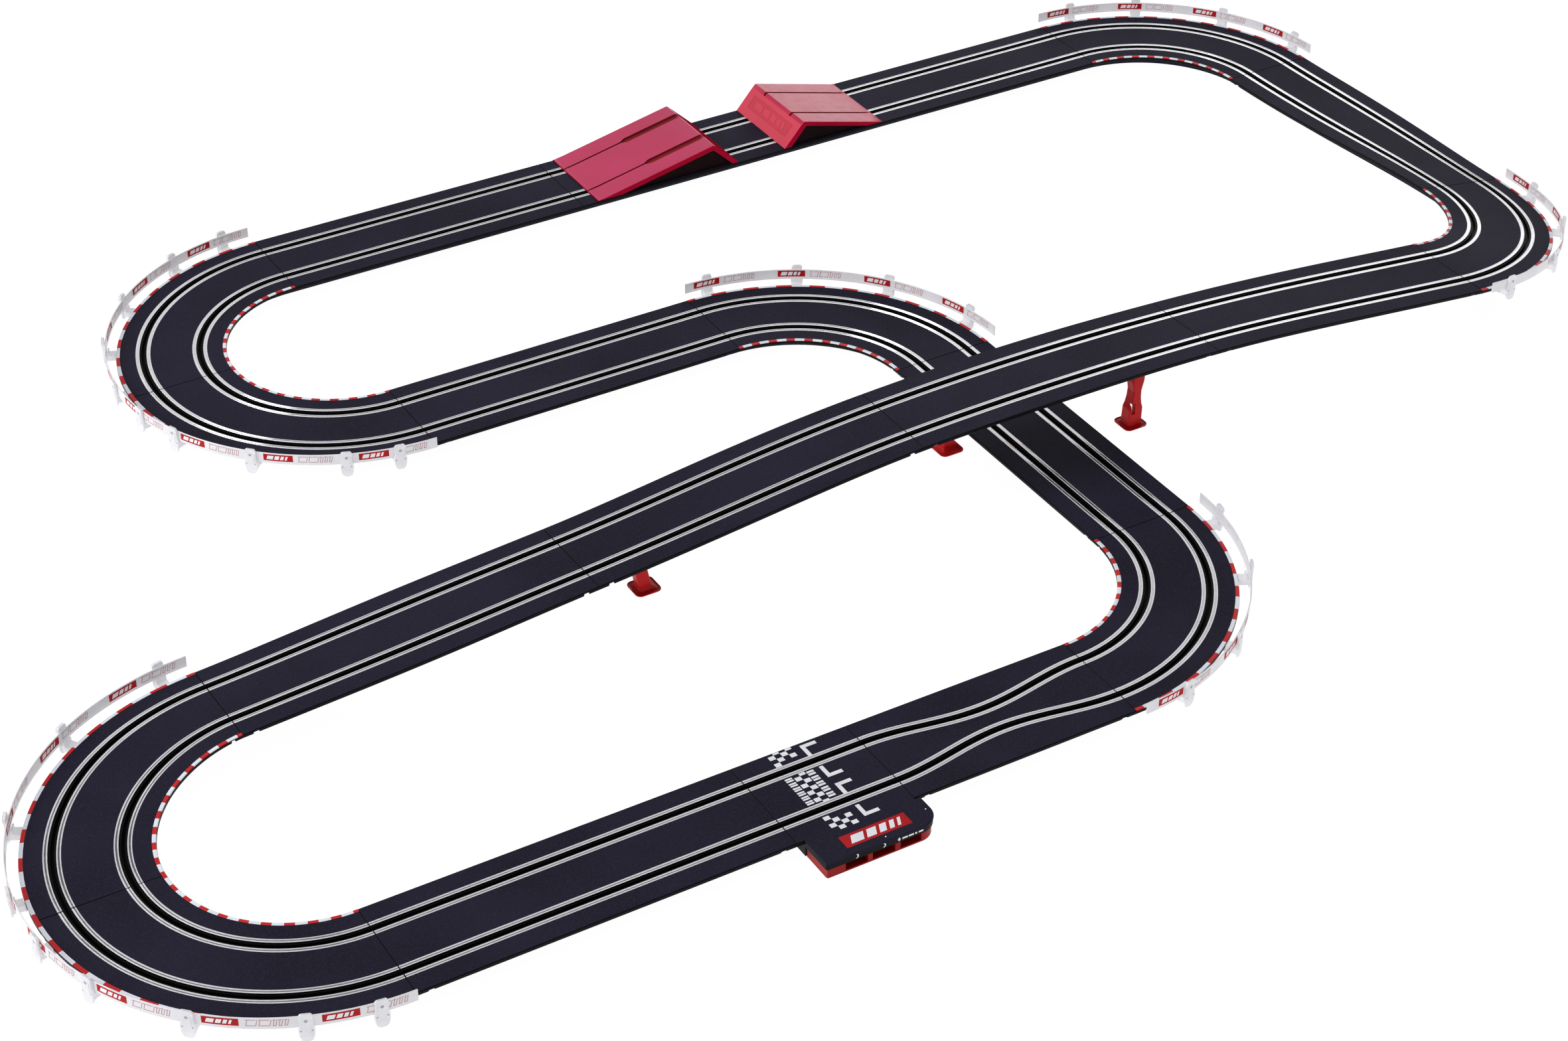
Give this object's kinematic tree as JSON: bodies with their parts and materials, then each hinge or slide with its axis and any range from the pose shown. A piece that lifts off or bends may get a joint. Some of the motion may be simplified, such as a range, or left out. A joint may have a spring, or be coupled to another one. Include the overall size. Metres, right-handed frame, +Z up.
{
  "type": "slot car track set",
  "caption": "Two-lane slot car circuit of clip-together straights and curves with a bridge, a jump, edge fences and a plug-in terminal section",
  "frame": {"origin": "middle of the whole set's footprint, on the floor", "axes": "+X along the long straights, away from the single front loop towards the far side; +Y from the terminal box towards the jump; +Z up"},
  "size_m": [1.8448, 1.1816, 0.0954],
  "materials": {
    "track_plastic": "fine grain, matte",
    "red_plastic": "satin",
    "crimson_plastic": "satin",
    "clear_plastic": "translucent",
    "rail_metal": "bare tinned strip"
  },
  "bodies": {
    "track": {"bridge_straight_1": "track_plastic", "bridge_straight_2": "track_plastic", "bridge_straight_3": "track_plastic", "bridge_straight_4": "track_plastic", "chicane": "track_plastic", "climbing_curve": "track_plastic", "climbing_holder_1": "clear_plastic", "climbing_holder_2": "clear_plastic", "climbing_holder_3": "clear_plastic", "climbing_holder_4": "clear_plastic", "connecting_section": "track_plastic", "far_curve": "track_plastic", "far_holder_1": "clear_plastic", "far_holder_2": "clear_plastic", "far_holder_3": "clear_plastic", "far_holder_4": "clear_plastic", "far_straight": "track_plastic", "front_loop_curve_1": "track_plastic", "front_loop_curve_2": "track_plastic", "front_loop_holder_1": "clear_plastic", "front_loop_holder_2": "clear_plastic", "front_loop_holder_3": "clear_plastic", "front_loop_holder_4": "clear_plastic", "front_loop_holder_5": "clear_plastic", "front_straight": "track_plastic", "jump_straight_1": "track_plastic", "jump_straight_2": "track_plastic", "jump_straight_3": "track_plastic", "middle_straight": "track_plastic", "rear_loop_curve_1": "track_plastic", "rear_loop_curve_2": "track_plastic", "rear_loop_holder_1": "clear_plastic", "rear_loop_holder_2": "clear_plastic", "rear_loop_holder_3": "clear_plastic", "rear_loop_holder_4": "clear_plastic", "rear_loop_holder_5": "clear_plastic", "right_front_curve": "track_plastic", "right_front_holder_1": "clear_plastic", "right_front_holder_2": "clear_plastic", "right_front_holder_3": "clear_plastic", "right_front_holder_4": "clear_plastic", "right_middle_curve": "track_plastic", "right_middle_holder_1": "clear_plastic", "right_middle_holder_2": "clear_plastic", "right_middle_holder_3": "clear_plastic", "right_middle_holder_4": "clear_plastic", "support_low": "red_plastic", "support_middle": "red_plastic", "support_tall": "red_plastic", "terminal_contact_strip": "rail_metal", "terminal_housing": "red_plastic", "underpass_straight": "track_plastic"},
    "climbing_fence_body": {"climbing_fence": "clear_plastic"},
    "far_fence_body": {"far_fence": "clear_plastic"},
    "front_loop_fence_body": {"front_loop_fence": "clear_plastic"},
    "landing_ramp_body": {"landing_ramp": "crimson_plastic"},
    "rear_loop_fence_body": {"rear_loop_fence": "clear_plastic"},
    "right_front_fence_body": {"right_front_fence": "clear_plastic"},
    "right_middle_fence_body": {"right_middle_fence": "clear_plastic"},
    "take_off_ramp_body": {"take_off_ramp": "crimson_plastic"}
  },
  "joints": [
    {"name": "take_off_ramp_slide", "type": "slide", "parent": "track", "child": "take_off_ramp_body", "axis": [1, 0, 0], "range_m": [-0.1, 0]},
    {"name": "landing_ramp_slide", "type": "slide", "parent": "track", "child": "landing_ramp_body", "axis": [1, 0, 0], "range_m": [-0.04, 0.12]},
    {"name": "climbing_fence_lift", "type": "slide", "parent": "track", "child": "climbing_fence_body", "axis": [0, 0, 1], "range_m": [0, 0.015]},
    {"name": "far_fence_lift", "type": "slide", "parent": "track", "child": "far_fence_body", "axis": [0, 0, 1], "range_m": [0, 0.015]},
    {"name": "front_loop_fence_lift", "type": "slide", "parent": "track", "child": "front_loop_fence_body", "axis": [0, 0, 1], "range_m": [0, 0.015]},
    {"name": "rear_loop_fence_lift", "type": "slide", "parent": "track", "child": "rear_loop_fence_body", "axis": [0, 0, 1], "range_m": [0, 0.015]},
    {"name": "right_front_fence_lift", "type": "slide", "parent": "track", "child": "right_front_fence_body", "axis": [0, 0, 1], "range_m": [0, 0.015]},
    {"name": "right_middle_fence_lift", "type": "slide", "parent": "track", "child": "right_middle_fence_body", "axis": [0, 0, 1], "range_m": [0, 0.015]}
  ]
}
